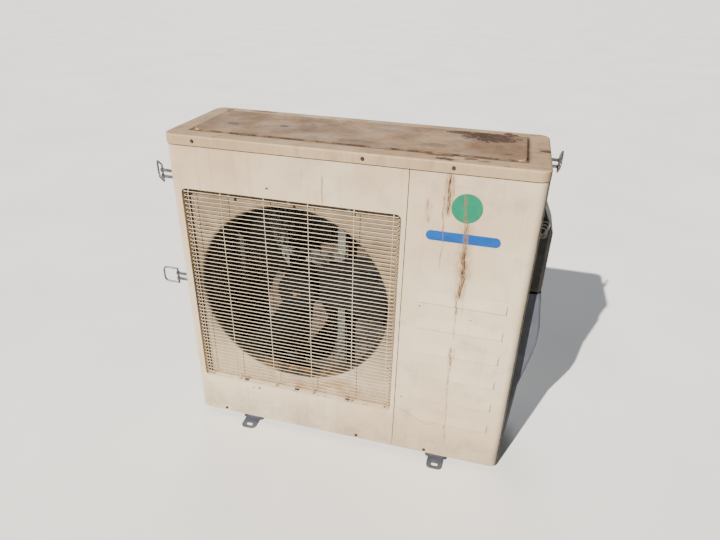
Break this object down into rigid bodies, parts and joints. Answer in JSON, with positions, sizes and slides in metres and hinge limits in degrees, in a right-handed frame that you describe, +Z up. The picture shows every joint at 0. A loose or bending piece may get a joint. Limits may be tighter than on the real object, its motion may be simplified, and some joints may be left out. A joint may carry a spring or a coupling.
{
  "type": "heat pump outdoor unit",
  "caption": "Box-shaped air-source heat pump outdoor unit with a guarded axial fan, wrap-round coil, compressor chamber, slotted feet and side rings.",
  "frame": {"origin": "on the ground, at the centre of the four foot slots", "axes": "+X to the right seen from the guard side, +Y from the front to the back, +Z up"},
  "size_m": [1.1327, 0.4, 0.968],
  "materials": {
    "cream_paint": "satin",
    "cover_paint": "satin",
    "guard_paint": "satin",
    "galvanised": "satin",
    "zinc_screw": "satin",
    "fan_plastic": "satin",
    "black_plastic": "matte",
    "grey_cover": "satin",
    "motor_paint": "satin",
    "fin_aluminium": "satin",
    "copper": "satin",
    "valve_brass": "satin",
    "dark_steel": "satin",
    "ring_steel": "satin",
    "compressor_paint": "gloss",
    "rubber": "matte",
    "winding": "satin",
    "board_green": "satin",
    "white_plastic": "satin",
    "cable": "satin",
    "badge_teal": "gloss",
    "bar_blue": "gloss"
  },
  "bodies": {
    "casing": {"base_pan": "galvanised", "foot_rail_left": "grey_cover", "foot_rail_right": "grey_cover", "front_panel": "cream_paint", "service_panel": "cream_paint", "right_side_panel": "cream_paint", "corner_post": "cream_paint", "top_cover": "cover_paint", "partition_plate": "galvanised", "fan_guard": "guard_paint", "guard_clips": "dark_steel", "coil_guards": "guard_paint", "cover_screws": "zinc_screw", "base_screws": "zinc_screw", "emblem_badge": "badge_teal", "name_bar": "bar_blue", "motor_housing": "motor_paint", "motor_end_cap": "motor_paint", "motor_stator": "winding", "motor_bearings": "dark_steel", "motor_rail_left": "galvanised", "motor_rail_right": "galvanised", "motor_bars": "galvanised", "motor_screws": "zinc_screw", "condenser_fins": "fin_aluminium", "coil_end_plates": "galvanised", "return_bends": "copper", "compressor_shell": "compressor_paint", "compressor_grommets": "rubber", "compressor_studs": "zinc_screw", "compressor_stator": "winding", "compressor_pump": "dark_steel", "compressor_terminal_cap": "black_plastic", "accumulator": "compressor_paint", "four_way_valve": "valve_brass", "reversing_coil": "black_plastic", "refrigerant_pipes": "copper", "valve_bracket": "galvanised", "gas_line_valve": "valve_brass", "liquid_line_valve": "valve_brass", "valve_caps": "valve_brass", "valve_cover": "grey_cover", "control_box": "galvanised", "control_board": "board_green", "run_capacitor": "white_plastic", "contactor_body": "black_plastic", "terminal_block": "white_plastic", "terminal_cover": "black_plastic", "supply_wires": "cable", "ring_brackets": "ring_steel"},
    "fan": {"axial_fan": "fan_plastic", "fan_nut": "zinc_screw", "motor_shaft": "dark_steel", "motor_rotor": "dark_steel"},
    "compressor_crank": {"compressor_rotor": "dark_steel"},
    "reversing_piston": {"reversing_slider": "valve_brass"},
    "contactor_bridge": {"contactor_carrier": "white_plastic"},
    "ring_left_low": {"swivel_ring_left_low": "ring_steel"},
    "ring_left_high": {"swivel_ring_left_high": "ring_steel"},
    "ring_right": {"swivel_ring_right": "ring_steel"}
  },
  "joints": [
    {"name": "fan_spin", "type": "hinge", "parent": "casing", "child": "fan", "pos_m": [-0.16, 0, 0.49], "axis": [0, 1, 0], "continuous": true},
    {"name": "compressor_spin", "type": "hinge", "parent": "casing", "child": "compressor_crank", "pos_m": [0.33, -0.02, 0.165], "axis": [0, 0, 1], "continuous": true},
    {"name": "reversing_slide", "type": "slide", "parent": "casing", "child": "reversing_piston", "axis": [1, 0, 0], "range_m": [0, 0.018]},
    {"name": "contactor_close", "type": "slide", "parent": "casing", "child": "contactor_bridge", "axis": [0, 1, 0], "range_m": [0, 0.005], "stiffness_N_per_m": 400, "springref_m": -0.002},
    {"name": "ring_left_low_swivel", "type": "hinge", "parent": "casing", "child": "ring_left_low", "pos_m": [-0.531, -0.136, 0.512], "axis": [0, 0, 1], "range_deg": [-90, 90]},
    {"name": "ring_left_high_swivel", "type": "hinge", "parent": "casing", "child": "ring_left_high", "pos_m": [-0.531, -0.136, 0.841], "axis": [0, 0, 1], "range_deg": [-48, 132]},
    {"name": "ring_right_swivel", "type": "hinge", "parent": "casing", "child": "ring_right", "pos_m": [0.5322, 0.118, 0.902], "axis": [0, 0, 1], "range_deg": [-168, 12]}
  ]
}
